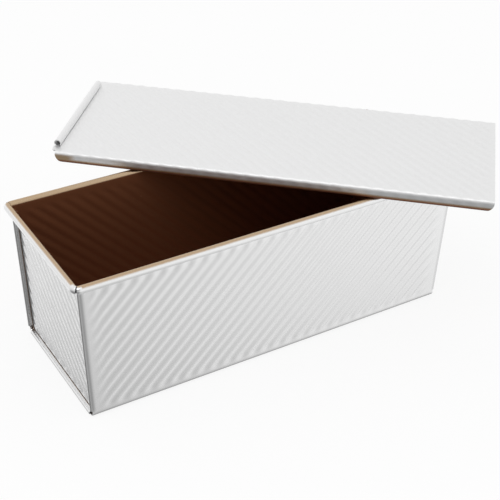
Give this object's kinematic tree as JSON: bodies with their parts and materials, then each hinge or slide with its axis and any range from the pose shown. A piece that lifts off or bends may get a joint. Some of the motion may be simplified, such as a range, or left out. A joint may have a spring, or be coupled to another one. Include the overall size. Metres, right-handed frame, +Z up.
{
  "type": "loaf pan",
  "caption": "Long straight-sided bread pan folded from corrugated sheet steel with a rolled, wire-stiffened rim, hemmed ends and a flat lid whose edge channels slide along the rim.",
  "frame": {"origin": "centre of the pan's rest face", "axes": "+X along the pan, away from the end that shows in front on the left; +Y away from the long wall in front; +Z up"},
  "size_m": [0.3953, 0.3197, 0.1319],
  "materials": {
    "aluminised_sheet": "satin silver sheet, ribbed; the inside of the pan carries a golden-brown non-stick coat",
    "steel_wire": "plain drawn wire, hidden in the rolled rim"
  },
  "bodies": {
    "pan": {"wrapper": "aluminised_sheet", "left_end_panel": "aluminised_sheet", "right_end_panel": "aluminised_sheet", "rim_wire": "steel_wire"},
    "lid": {"lid": "aluminised_sheet"}
  },
  "joints": [
    {"name": "lid_lift", "type": "slide", "parent": "pan", "child": "lid", "axis": [0, 0, 1], "range_m": [0, 0.15]}
  ]
}
